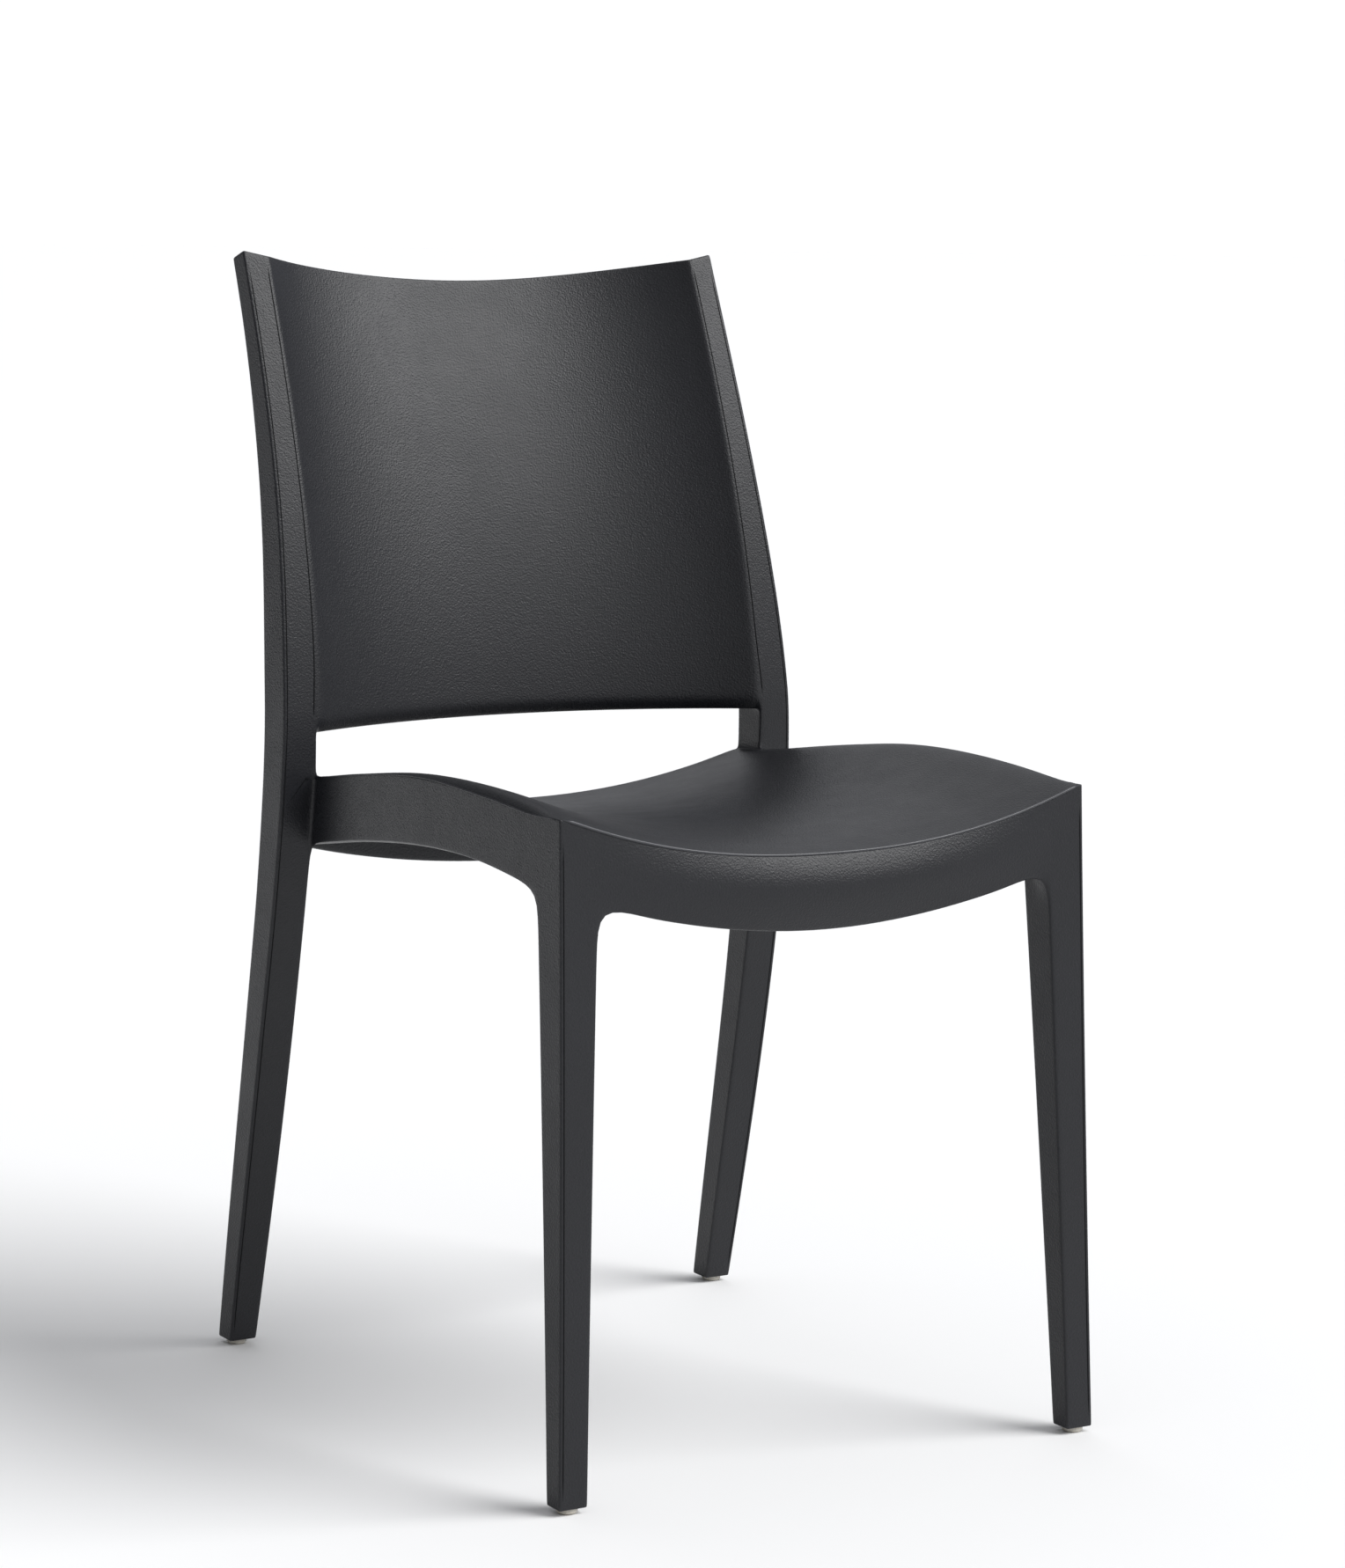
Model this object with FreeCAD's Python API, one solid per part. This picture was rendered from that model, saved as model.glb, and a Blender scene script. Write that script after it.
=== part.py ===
import FreeCAD, Part

# One-piece moulded stacking chair with four pressed-in foot glides.
# All sizes in millimetres.  +Z is up, the chair faces -Y.  While it is drawn, y is measured
# from half way between the front and rear feet; at the end every piece is moved by SHIFT_Y so
# that the origin is on the floor under the middle of the whole chair.

import math
import os

from FreeCAD import Vector

os.makedirs("parts", exist_ok=True)

# ---------------------------------------------------------------- driving dimensions
GLIDE_HEAD = 4.0            # how far the glides hold the leg ends off the floor
GLIDE_DIA = 14.6
STEM_DIA = 8.0
STEM_LENGTH = 16.0
STEM_CLEARANCE = 0.15       # all round and at the blind end of the bore
BARB_STAND = 0.1            # the stem's two rings, still inside the bore's clearance

WIDTH = 444.0               # over the rear legs, the widest place
HEIGHT = 809.0              # top corners of the back
FOOT_DEPTH = 497.0          # front face of front feet to rear face of rear feet
SEAT_WIDTH = 423.2          # over the side rails at the front
SEAT_HEIGHT = 457.5         # seat rim at the front corners
SEAT_DIP = 34.5             # how much lower the middle of the front edge is
REAR_DIP = 30.5             # the same at the rear edge
SWELL = 12.4                # the seat's swell just inside its sides, at its fullest
BACK_DIP = 22.5             # how much lower the middle of the top edge is
BACK_HOLLOW = 41.0          # how deep the back is dished between the stiles, at the slot
BACK_HOLLOW_TOP = 50.0      # the same at the top edge

SKIN = 5.0                  # seat pan
SKIRT = 7.0                 # aprons and side rails
RAIL_HEIGHT = 46.0
APRON_HEIGHT = 52.0
REAR_APRON_HEIGHT = 46.0
PANEL = 6.0                 # back panel, measured front to rear
LIP = 11.0                  # return lip along the lower edge of the panel
LIP_HEIGHT = 9.0
LIP_DROP = 6.5              # how far the lip hangs below the crease along the panel's foot
TOP_SLOPE = 0.36            # fall of the top edge from front to rear, square to the leaning back
RIB = 3.0
RIB_DEPTH = 12.0
RIB_PLACE = 75.0

TABLE_TOP = 809.0           # top corners in the tables of the rear legs and stiles
SLOT_TOP = 474.0
SLOT_HALF = 190.5
ARCH_RADIUS = 20.0
SIDE_ARCH_RADIUS = 15.0

FOOT_X = 21.3               # section of a front foot
FOOT_Y = 17.5
REAR_FOOT_X = 20.8
REAR_FOOT_Y = 19.8

BIG = 700.0

# ---------------------------------------------------------------- plain arithmetic helpers


def blend(points, at):
    """Smooth curve through (position, value) points; level slope is kept at both ends."""
    if at <= points[0][0]:
        step = points[1][0] - points[0][0]
        return points[0][1] + (points[1][1] - points[0][1]) * (at - points[0][0]) / step
    if at >= points[-1][0]:
        step = points[-1][0] - points[-2][0]
        return points[-1][1] + (points[-1][1] - points[-2][1]) * (at - points[-1][0]) / step
    slopes = []
    for i in range(len(points)):
        a = points[max(i - 1, 0)]
        b = points[min(i + 1, len(points) - 1)]
        slopes.append((b[1] - a[1]) / (b[0] - a[0]))
    for i in range(len(points) - 1):
        if at <= points[i + 1][0]:
            width = points[i + 1][0] - points[i][0]
            t = (at - points[i][0]) / width
            h00 = 2 * t ** 3 - 3 * t ** 2 + 1
            h10 = t ** 3 - 2 * t ** 2 + t
            h01 = -2 * t ** 3 + 3 * t ** 2
            h11 = t ** 3 - t ** 2
            low = h00 * points[i][1] + h10 * width * slopes[i]
            return low + h01 * points[i + 1][1] + h11 * width * slopes[i + 1]
    return points[-1][1]


def steps(low, high, count):
    return [low + (high - low) * i / (count - 1.0) for i in range(count)]


def drawn(z):
    """Height at which the tables below show what stands at height z of this chair."""
    if z <= SLOT_TOP:
        return z
    return SLOT_TOP + (z - SLOT_TOP) * (TABLE_TOP - SLOT_TOP) / (HEIGHT - SLOT_TOP)


def built(z):
    """The other way round: a table's height to this chair's."""
    if z <= SLOT_TOP:
        return z
    return SLOT_TOP + (z - SLOT_TOP) * (HEIGHT - SLOT_TOP) / (TABLE_TOP - SLOT_TOP)


def share(x, y):
    """0 on the centre line, 1 at the seat's side."""
    return abs(x) / side_plan(y)


# ---------------------------------------------------------------- the shapes as formulas

FRONT_FOOT = -FOOT_DEPTH / 2.0 + 3.0
REAR_FOOT = FOOT_DEPTH / 2.0 + 3.0
SIDE = SEAT_WIDTH / 2.0
REAR_SIDE = SLOT_HALF - 1.0
SEAT_REAR = 193.0


def rim_height(y):
    """Edge of the seat along its side."""
    rise = [(-215, 0.8), (-190, -0.3), (-173, -0.5), (-150, 0.7), (-126, 2.0), (-90, 3.1), (-52, 4.1),
            (-28, 3.7), (0, 1.7), (30, -1.7), (60, -5.9), (90, -10.5), (120, -15.5), (140, -18.8),
            (165, -22.2), (200, -25.0)]
    return SEAT_HEIGHT + blend(rise, y)


def swell(y):
    """How far the seat would stand above its side edge if it did not roll over."""
    part = [(-215, 0.12), (-190, 0.62), (-173, 0.9), (-150, 1.0), (-126, 1.02), (-90, 0.94), (-52, 0.78),
            (0, 0.58), (30, 0.43), (60, 0.36), (120, 0.28), (165, 0.14), (200, 0.08)]
    return max(0.0, SWELL * blend(part, y))


def middle_height(y):
    front = SEAT_HEIGHT - SEAT_DIP
    rear = rim_height(SEAT_REAR) - REAR_DIP
    curve = [(-222, front), (-190, front + 4.0), (-140, front + 5.5), (-80, front + 3.0),
             (0, front - 4.0), (100, 0.4 * front + 0.6 * rear - 1.0), (SEAT_REAR, rear)]
    return blend(curve, y)


def seat_top(x, y):
    """Dished seat that swells just inside its sides and rolls over to their edges."""
    t = share(x, y)
    over = max(0.0, (t - 0.94) / 0.06)
    roll = over ** 2 if over < 1.0 else 2.0 * over - 1.0
    rise = rim_height(y) + swell(y) - middle_height(y)
    return middle_height(y) + rise * t ** 2.3 - swell(y) * roll


def skirt_bottom(x, y):
    rail = [(-222, -2.4), (-200, -3.5), (-180, -3.3), (-163, -0.6), (-142, 0.7), (-110, 2.2), (-60, 1.0),
            (-28, -0.1), (8, -0.5), (110, -0.7), (162, -2.8), (200, -7.5)]
    middle = [(-222, -APRON_HEIGHT - 1.0), (-190, -APRON_HEIGHT - 4.0), (0, -APRON_HEIGHT),
              (200, -REAR_APRON_HEIGHT)]
    low = middle_height(y) + blend(middle, y)
    high = rim_height(y) - RAIL_HEIGHT + blend(rail, y)
    return low + (high - low) * share(x, y) ** 1.9


def side_plan(y):
    """Half width over the side rails: full in front, drawn in between the rear legs."""
    curve = [(-230, SIDE), (-150, SIDE - 0.5), (-60, SIDE - 1.8), (0, SIDE - 3.3), (60, SIDE - 7.0),
             (110, SIDE - 12.5), (140, SIDE - 17.0), (165, REAR_SIDE), (230, REAR_SIDE)]
    return blend(curve, y)


def side_face(y, z):
    """The front legs spread a little towards the floor."""
    spread = [(0, 6.9), (100, 4.8), (200, 3.1), (300, 1.6), (400, 0.4), (460, 0.0), (520, 0.0)]
    return side_plan(y) + blend(spread, z)


def front_face(x, z):
    """Raked front legs, and an apron that noses forward and tucks under."""
    rake = FRONT_FOOT + 0.065 * z
    inward = max(0.0, 1.0 - (x / (SIDE - 14.6)) ** 2) ** 1.5
    drop = max(0.0, seat_top(x, -215.0) - z)
    nose = [(0, -3.0), (6, -6.3), (14, -8.6), (24, -8.2), (36, -4.0), (52, 6.5), (80, 24.0)]
    return rake + inward * blend(nose, min(drop, 80.0))


def rear_face(x, z):
    inward = 1.0 - share(x, SEAT_REAR) ** 2
    return SEAT_REAR + 17.0 * inward - 0.05 * (z - 400.0)


def back_front(x, z):
    """Front face of the dished back panel."""
    edge = blend(STILE_FRONT, drawn(z))
    up = (z - SLOT_TOP) / (HEIGHT - SLOT_TOP)
    hollow = BACK_HOLLOW + (BACK_HOLLOW_TOP - BACK_HOLLOW) * up
    power = 2.1 + 1.1 * up
    half = SLOT_HALF - 3.5 - 6.0 * up
    t = min(abs(x) / half, 1.0)
    return edge + hollow * (1.0 - t ** power)


BACK_HALF = WIDTH / 2.0 - 21.5


def back_top(x):
    return HEIGHT - BACK_DIP * (1.0 - min(abs(x) / BACK_HALF, 1.1) ** 1.9)


# y of the rear leg and stile, front side then rear side, by height
STILE_FRONT = [(0, REAR_FOOT - REAR_FOOT_Y), (50, 222.2), (100, 211.7), (150, 201.9), (200, 192.4),
               (250, 183.6), (300, 175.6), (350, 168.8), (400, 164.2), (435, 162.6), (470, 162.6),
               (500, 166.0), (540, 173.1), (580, 182.4), (620, 193.6), (660, 206.7), (700, 221.3),
               (740, 237.2), (780, 254.2), (TABLE_TOP, 266.5), (850, 284.5)]
STILE_REAR = [(0, REAR_FOOT), (50, 243.3), (100, 234.2), (150, 225.4), (200, 217.0), (250, 209.4),
              (300, 202.6), (350, 197.0), (400, 193.8), (440, 192.9), (480, 195.2), (520, 201.2),
              (560, 208.2), (600, 216.4), (640, 226.6), (680, 238.4), (720, 251.4), (760, 265.8),
              (800, 282.0), (TABLE_TOP, 285.6), (850, 304.0)]
OUTER = WIDTH / 2.0
STILE_OUTER = [(0, OUTER - 1.7), (50, OUTER - 0.9), (100, OUTER - 0.3), (150, OUTER), (250, OUTER),
               (300, OUTER - 0.7), (350, OUTER - 1.6), (400, OUTER - 2.7), (435, OUTER - 3.7),
               (470, OUTER - 5.0), (500, OUTER - 6.4), (540, OUTER - 8.8), (580, OUTER - 11.7),
               (620, OUTER - 14.3), (660, OUTER - 16.5), (700, OUTER - 18.1), (740, OUTER - 19.4),
               (780, OUTER - 20.2), (TABLE_TOP, OUTER - 20.6), (850, OUTER - 20.8)]
STILE_INNER = [(0, OUTER - 2.4 - REAR_FOOT_X), (50, OUTER - 24.3), (100, OUTER - 25.3),
               (150, OUTER - 26.1), (200, OUTER - 26.8), (250, OUTER - 27.3), (300, OUTER - 27.8),
               (350, OUTER - 28.7), (400, OUTER - 30.3), (435, SLOT_HALF), (474, SLOT_HALF),
               (520, SLOT_HALF - 2.9), (600, SLOT_HALF - 5.1), (700, SLOT_HALF - 7.3),
               (TABLE_TOP, SLOT_HALF - 9.3), (850, SLOT_HALF - 10.1)]


# ---------------------------------------------------------------- solid helpers


def face_over(xs, ys, height):
    """Smooth face z = height(x, y)."""
    grid = [[Vector(x, y, height(x, y)) for y in ys] for x in xs]
    surface = Part.BSplineSurface()
    surface.interpolate(grid)
    return surface.toShape()


def seat_face(height):
    """Smooth face z = height(x, y) whose lines follow the seat's sides."""
    half = [0.0, 0.25, 0.5, 0.7, 0.84, 0.92, 0.96, 1.0, 1.06, 1.2, 1.4]
    across = [-t for t in reversed(half[1:])] + half
    ys = steps(-300, 250, 27)
    grid = [[Vector(t * side_plan(y), y, height(t * side_plan(y), y)) for y in ys] for t in across]
    surface = Part.BSplineSurface()
    surface.interpolate(grid)
    return surface.toShape()


def face_facing_y(xs, zs, depth):
    """Smooth face y = depth(x, z)."""
    grid = [[Vector(x, depth(x, z), z) for z in zs] for x in xs]
    surface = Part.BSplineSurface()
    surface.interpolate(grid)
    return surface.toShape()


def face_facing_x(ys, zs, half):
    """Smooth face x = half(y, z)."""
    grid = [[Vector(half(y, z), y, z) for z in zs] for y in ys]
    surface = Part.BSplineSurface()
    surface.interpolate(grid)
    return surface.toShape()


def block(x0, x1, y0, y1, z0, z1):
    return Part.makeBox(x1 - x0, y1 - y0, z1 - z0, Vector(x0, y0, z0))


def curve_edge(points):
    curve = Part.BSplineCurve()
    curve.interpolate(points)
    return curve.toShape()


def mirrored(shape):
    return shape.mirror(Vector(0, 0, 0), Vector(1, 0, 0))


def joined(shapes):
    """Fuses the shapes one after the other."""
    body = shapes[0]
    for shape in shapes[1:]:
        body = body.fuse(shape)
    return body


def without(shape, tools):
    """Takes the tools away one after the other."""
    for tool in tools:
        shape = shape.cut(tool)
    return shape


def one_solid(shape):
    """The boolean's single solid with its split faces joined."""
    clean = shape.removeSplitter()
    solids = clean.Solids
    solids.sort(key=lambda s: s.Volume)
    return solids[-1]


def arch_outline(left, right, foot, head, place):
    """Closed wire under an arch.  left and right give the leg's edge at a height, head the arch
    height across; the two upper corners are rounded by ARCH_RADIUS."""
    low_left = left(foot)
    low_right = right(foot)
    points = []
    for z in steps(foot, head(left(400.0)) - ARCH_RADIUS, 8):
        points.append((left(z), z))
    a = points[-1]
    start = a[0] + ARCH_RADIUS
    corner = (a[0] + 0.29 * ARCH_RADIUS, head(start) - 0.29 * ARCH_RADIUS)
    tops = []
    span_end = right(head(right(400.0)) - ARCH_RADIUS) - ARCH_RADIUS
    for u in steps(start, span_end, 9):
        tops.append((u, head(u)))
    downs = []
    for z in steps(head(right(400.0)) - ARCH_RADIUS, foot, 8):
        downs.append((right(z), z))
    b = downs[0]
    corner_b = (b[0] - 0.29 * ARCH_RADIUS, head(span_end) - 0.29 * ARCH_RADIUS)
    edges = [curve_edge([place(p) for p in points])]
    edges.append(Part.Arc(place(a), place(corner), place(tops[0])).toShape())
    edges.append(curve_edge([place(p) for p in tops]))
    edges.append(Part.Arc(place(tops[-1]), place(corner_b), place(b)).toShape())
    edges.append(curve_edge([place(p) for p in downs]))
    edges.append(Part.LineSegment(place((low_right, foot)), place((low_left, foot))).toShape())
    return Part.Face(Part.Wire(edges))


# ---------------------------------------------------------------- seat, aprons and front legs


def front_leg_inner(z):
    width = [(0, FOOT_X + 0.4), (100, FOOT_X + 1.5), (200, FOOT_X + 3.4), (300, FOOT_X + 5.5),
             (400, FOOT_X + 8.2), (480, FOOT_X + 11.0)]
    return side_face(-215.0, z) - blend(width, z)


def front_leg_rear(z):
    return FRONT_FOOT + FOOT_Y + 0.098 * z


def stool_blank():
    """Everything inside the outer faces of the seat, rails, aprons and front legs."""
    blank = block(-SIDE - 49.0, SIDE + 49.0, -290, 240, GLIDE_HEAD, 520)
    xs = steps(-SIDE - 54.0, SIDE + 54.0, 19)
    ys = steps(-300, 250, 21)
    zs = steps(-10, 530, 28)
    above = seat_face(seat_top).extrude(Vector(0, 0, BIG))
    ahead = face_facing_y(xs, zs, front_face).extrude(Vector(0, -BIG, 0))
    behind = face_facing_y(xs, steps(-10, 530, 6), rear_face).extrude(Vector(0, BIG, 0))
    beside = face_facing_x(ys, zs, side_face).extrude(Vector(BIG, 0, 0))
    return without(blank, [beside, mirrored(beside), behind, ahead, above])


def front_arch():
    """The opening under the front apron, between the front legs."""
    def place(p):
        return Vector(p[0], -300.0, p[1])

    def head(x):
        return skirt_bottom(x, -216.0)

    def left(z):
        return -front_leg_inner(z)

    outline = arch_outline(left, front_leg_inner, -20.0, head, place)
    return outline.extrude(Vector(0, 600, 0))


def side_arch():
    """The opening under one side rail; it runs out behind, where the rear leg stands."""
    def place(p):
        return Vector(150.0, p[0], p[1])

    def head(y):
        return skirt_bottom(side_plan(y), y)

    start_z = head(front_leg_rear(400.0) + SIDE_ARCH_RADIUS) - SIDE_ARCH_RADIUS
    uprights = [(front_leg_rear(z), z) for z in steps(-20.0, start_z, 6)]
    a = uprights[-1]
    tops = [(y, head(y)) for y in steps(a[0] + SIDE_ARCH_RADIUS, 300.0, 16)]
    corner = (a[0] + 0.29 * SIDE_ARCH_RADIUS, tops[0][1] - 0.29 * SIDE_ARCH_RADIUS)
    edges = [curve_edge([place(p) for p in uprights])]
    edges.append(Part.Arc(place(a), place(corner), place(tops[0])).toShape())
    edges.append(curve_edge([place(p) for p in tops]))
    edges.append(Part.LineSegment(place(tops[-1]), place((300.0, -20.0))).toShape())
    edges.append(Part.LineSegment(place((300.0, -20.0)), place(uprights[0])).toShape())
    return Part.Face(Part.Wire(edges)).extrude(Vector(150, 0, 0))


def underseat_hollow():
    """Room inside the skirt, up to the underside of the seat pan."""
    inner_front = front_leg_rear(380.0) + 4.0
    ys = [inner_front, -150, -100, -50, 0, 50, 100, 140, SEAT_REAR - SKIRT - 2.0]
    right = [Vector(side_plan(y) - SKIRT, y, -20) for y in ys]
    rear = [Vector(x, rear_face(x, 400.0) - SKIRT, -20) for x in steps(right[-1].x, -right[-1].x, 13)]
    left = [Vector(-p.x, p.y, p.z) for p in reversed(right)]
    edges = [curve_edge(right)]
    edges.append(Part.LineSegment(right[-1], rear[0]).toShape())
    edges.append(curve_edge(rear))
    edges.append(Part.LineSegment(rear[-1], left[0]).toShape())
    edges.append(curve_edge(left))
    edges.append(Part.LineSegment(left[-1], right[0]).toShape())
    main = Part.Face(Part.Wire(edges)).extrude(Vector(0, 0, 540))
    half = front_leg_inner(400.0) - 2.0
    fore = block(-half, half, FRONT_FOOT + 0.065 * 400 + SKIRT + 13.0, inner_front + 20.0, -20, 520)
    pan = seat_face(lambda x, y: seat_top(x, y) - SKIN).extrude(Vector(0, 0, BIG))
    return main.fuse(fore).cut(pan)


def rear_apron_gap():
    """Clears the rear wall below the dipping lower edge of the rear apron."""
    def place(p):
        return Vector(p[0], 150.0, p[1])

    xs = steps(-230.0, 230.0, 17)
    tops = [(x, skirt_bottom(x, 200.0)) for x in xs]
    edges = [curve_edge([place(p) for p in tops])]
    edges.append(Part.LineSegment(place(tops[-1]), place((230.0, -20.0))).toShape())
    edges.append(Part.LineSegment(place((230.0, -20.0)), place((-230.0, -20.0))).toShape())
    edges.append(Part.LineSegment(place((-230.0, -20.0)), place(tops[0])).toShape())
    return Part.Face(Part.Wire(edges)).extrude(Vector(0, 150, 0))


def underseat_ribs():
    """Two stiffening ribs hanging from the pan, front to rear."""
    ribs = []
    for x in (-RIB_PLACE, RIB_PLACE):
        ribs.append(block(x - RIB / 2.0, x + RIB / 2.0, FRONT_FOOT + 40.0, SEAT_REAR, 300, 520))
    under = seat_face(lambda x, y: seat_top(x, y) - SKIN + 1.0)
    layer = under.extrude(Vector(0, 0, -RIB_DEPTH - 1.0))
    return joined([rib.common(layer) for rib in ribs])


def seat_and_front_legs():
    body = stool_blank()
    arches = [front_arch(), side_arch(), mirrored(side_arch()), rear_apron_gap()]
    body = without(body, arches + [underseat_hollow()])
    return body.fuse(underseat_ribs())


# ---------------------------------------------------------------- rear legs, stiles and back


def stile_section(z):
    """Rounded rectangle round one rear leg or stile at height z."""
    x0 = blend(STILE_INNER, drawn(z))
    x1 = blend(STILE_OUTER, drawn(z))
    y0 = blend(STILE_FRONT, drawn(z))
    y1 = blend(STILE_REAR, drawn(z))
    r = 2.6
    k = r * (1.0 - math.sqrt(0.5))
    edges = []
    edges.append(Part.LineSegment(Vector(x0 + r, y0, z), Vector(x1 - r, y0, z)).toShape())
    edges.append(Part.Arc(Vector(x1 - r, y0, z), Vector(x1 - k, y0 + k, z), Vector(x1, y0 + r, z)).toShape())
    edges.append(Part.LineSegment(Vector(x1, y0 + r, z), Vector(x1, y1 - r, z)).toShape())
    edges.append(Part.Arc(Vector(x1, y1 - r, z), Vector(x1 - k, y1 - k, z), Vector(x1 - r, y1, z)).toShape())
    edges.append(Part.LineSegment(Vector(x1 - r, y1, z), Vector(x0 + r, y1, z)).toShape())
    edges.append(Part.Arc(Vector(x0 + r, y1, z), Vector(x0 + k, y1 - k, z), Vector(x0, y1 - r, z)).toShape())
    edges.append(Part.LineSegment(Vector(x0, y1 - r, z), Vector(x0, y0 + r, z)).toShape())
    edges.append(Part.Arc(Vector(x0, y0 + r, z), Vector(x0 + k, y0 + k, z), Vector(x0 + r, y0, z)).toShape())
    return Part.Wire(edges)


def rear_leg_and_stile():
    heights = [GLIDE_HEAD, 60, 120, 180, 240, 300, 350, 400, 440, 480, 520, 570, 620, 670, 720, 770, 830]
    return Part.makeLoft([stile_section(built(z)) for z in heights], True, False)


def seat_root():
    """Solid corner where the seat runs into the rear leg."""
    y0 = blend(STILE_FRONT, 420.0) + 1.5
    top = rim_height(SEAT_REAR) - 2.0
    low = skirt_bottom(REAR_SIDE, y0) + 2.0
    return block(REAR_SIDE - SKIRT + 1.5, SLOT_HALF + 10.0, y0, SEAT_REAR - 2.0, low, top)


def lip_front(x, z):
    """Front of the lip, falling away to the rear below the crease."""
    return back_front(x, SLOT_TOP) + 0.5 * (SLOT_TOP - z)


def back_panel():
    """Dished panel between the stiles with its thicker lip along the slot."""
    half = SLOT_HALF + 9.5
    top = HEIGHT + 31.0
    xs = steps(-half, half, 29)
    zs = [built(z) for z in steps(440, 840, 21)]
    front = face_facing_y(xs, zs, back_front)
    sheet = front.extrude(Vector(0, PANEL, 0)).common(block(-half, half, 100, 400, SLOT_TOP + 2.0, top))
    lip = front.extrude(Vector(0, LIP, 0))
    lip = lip.common(block(-half, half, 100, 400, SLOT_TOP - LIP_DROP, SLOT_TOP + LIP_HEIGHT))
    whole = sheet.fuse(lip)
    wide = steps(-half - 10.0, half + 10.0, 29)
    lean = face_facing_y(wide, steps(SLOT_TOP - 20.0, SLOT_TOP + 20.0, 4), lip_front)
    return whole.cut(lean.extrude(Vector(0, -60, 0)))


def above_back():
    """Trims stiles and panel to the dipping top edge, square to the leaning back."""
    def height(x, y):
        return back_top(x) - TOP_SLOPE * (y - back_front(x, back_top(x)))

    xs = steps(-OUTER - 38.5, OUTER + 38.5, 27)
    return face_over(xs, steps(220, 360, 8), height).extrude(Vector(0, 0, BIG))


# ---------------------------------------------------------------- glides and their bores


def front_glide_place():
    x = side_face(-215.0, GLIDE_HEAD) - FOOT_X / 2.0
    return Vector(x, FRONT_FOOT + FOOT_Y / 2.0 + 0.3, 0)


def rear_glide_place():
    x = OUTER - 1.6 - REAR_FOOT_X / 2.0
    return Vector(x, REAR_FOOT - REAR_FOOT_Y / 2.0 - 0.7, 0)


def bore(place):
    radius = STEM_DIA / 2.0 + STEM_CLEARANCE
    low = place + Vector(0, 0, GLIDE_HEAD - 2.0)
    return Part.makeCylinder(radius, STEM_LENGTH + STEM_CLEARANCE + 2.0, low)


def glide(place):
    """Round foot: domed head on the floor, ringed stem in the bore."""
    radius = GLIDE_DIA / 2.0
    profile = [Vector(0, 0, 0), Vector(radius - 1.2, 0, 0), Vector(radius, 0, 1.2),
               Vector(radius, 0, GLIDE_HEAD), Vector(STEM_DIA / 2.0, 0, GLIDE_HEAD)]
    stem = STEM_DIA / 2.0
    for ring in (5.0, 10.0):
        profile.append(Vector(stem, 0, GLIDE_HEAD + ring))
        profile.append(Vector(stem + BARB_STAND, 0, GLIDE_HEAD + ring + 0.4))
        profile.append(Vector(stem, 0, GLIDE_HEAD + ring + 1.6))
    profile.append(Vector(stem, 0, GLIDE_HEAD + STEM_LENGTH - 1.0))
    profile.append(Vector(stem - 1.0, 0, GLIDE_HEAD + STEM_LENGTH))
    profile.append(Vector(0, 0, GLIDE_HEAD + STEM_LENGTH))
    profile.append(profile[0])
    face = Part.Face(Part.makePolygon(profile))
    solid = face.revolve(Vector(0, 0, 0), Vector(0, 0, 1), 360)
    solid.translate(place)
    return solid


# ---------------------------------------------------------------- putting it together


def chair_moulding():
    front_half = seat_and_front_legs()
    leg = rear_leg_and_stile()
    root = seat_root()
    back = back_panel()
    body = joined([front_half, leg, mirrored(leg), root, mirrored(root), back])
    body = body.cut(above_back())
    for place in (front_glide_place(), rear_glide_place()):
        body = body.cut([bore(place), bore(Vector(-place.x, place.y, 0))])
    return one_solid(body)


FRONT_REACH = front_face(SIDE, GLIDE_HEAD)
BACK_REACH = back_front(0.0, back_top(0.0) - TOP_SLOPE * PANEL) + PANEL
SHIFT_Y = -(FRONT_REACH + BACK_REACH) / 2.0


def save(name, shape):
    moved = shape.copy()
    moved.translate(Vector(0, SHIFT_Y, 0))
    moved.exportStep("parts/" + name + ".step")
    print(name, "solids", len(moved.Solids), "valid", moved.isValid(), "volume", round(moved.Volume))


save("chair_moulding", chair_moulding())
save("front_right_glide", glide(front_glide_place()))
save("front_left_glide", glide(Vector(-front_glide_place().x, front_glide_place().y, 0)))
save("rear_right_glide", glide(rear_glide_place()))
save("rear_left_glide", glide(Vector(-rear_glide_place().x, rear_glide_place().y, 0)))
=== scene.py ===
import bpy, bmesh, math
from mathutils.bvhtree import BVHTree
from mathutils import Matrix, Vector


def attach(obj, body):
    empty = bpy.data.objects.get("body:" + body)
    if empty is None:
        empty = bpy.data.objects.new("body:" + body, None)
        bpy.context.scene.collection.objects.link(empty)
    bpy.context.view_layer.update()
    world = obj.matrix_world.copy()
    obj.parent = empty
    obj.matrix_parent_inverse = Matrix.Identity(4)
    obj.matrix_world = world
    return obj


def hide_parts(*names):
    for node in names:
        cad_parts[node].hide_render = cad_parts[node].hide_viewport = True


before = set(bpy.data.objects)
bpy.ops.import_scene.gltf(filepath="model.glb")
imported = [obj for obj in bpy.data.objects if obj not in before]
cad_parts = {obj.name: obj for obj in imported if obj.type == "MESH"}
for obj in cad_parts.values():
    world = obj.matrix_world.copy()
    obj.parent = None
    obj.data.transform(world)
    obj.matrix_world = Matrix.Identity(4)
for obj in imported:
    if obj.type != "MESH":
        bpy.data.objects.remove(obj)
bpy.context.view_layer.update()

# ==================================================================== the moulding
# One shot of black polypropylene makes seat, back, rails and all four legs.  The walls are
# drawn here as a cage of blocks, bent to the chair's lines in millimetres and then smoothed;
# cage lines close to the corners give the small radius the mould leaves on every edge.
SHIFT = -33.068             # the chair is drawn from half way between its front and rear feet


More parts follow.
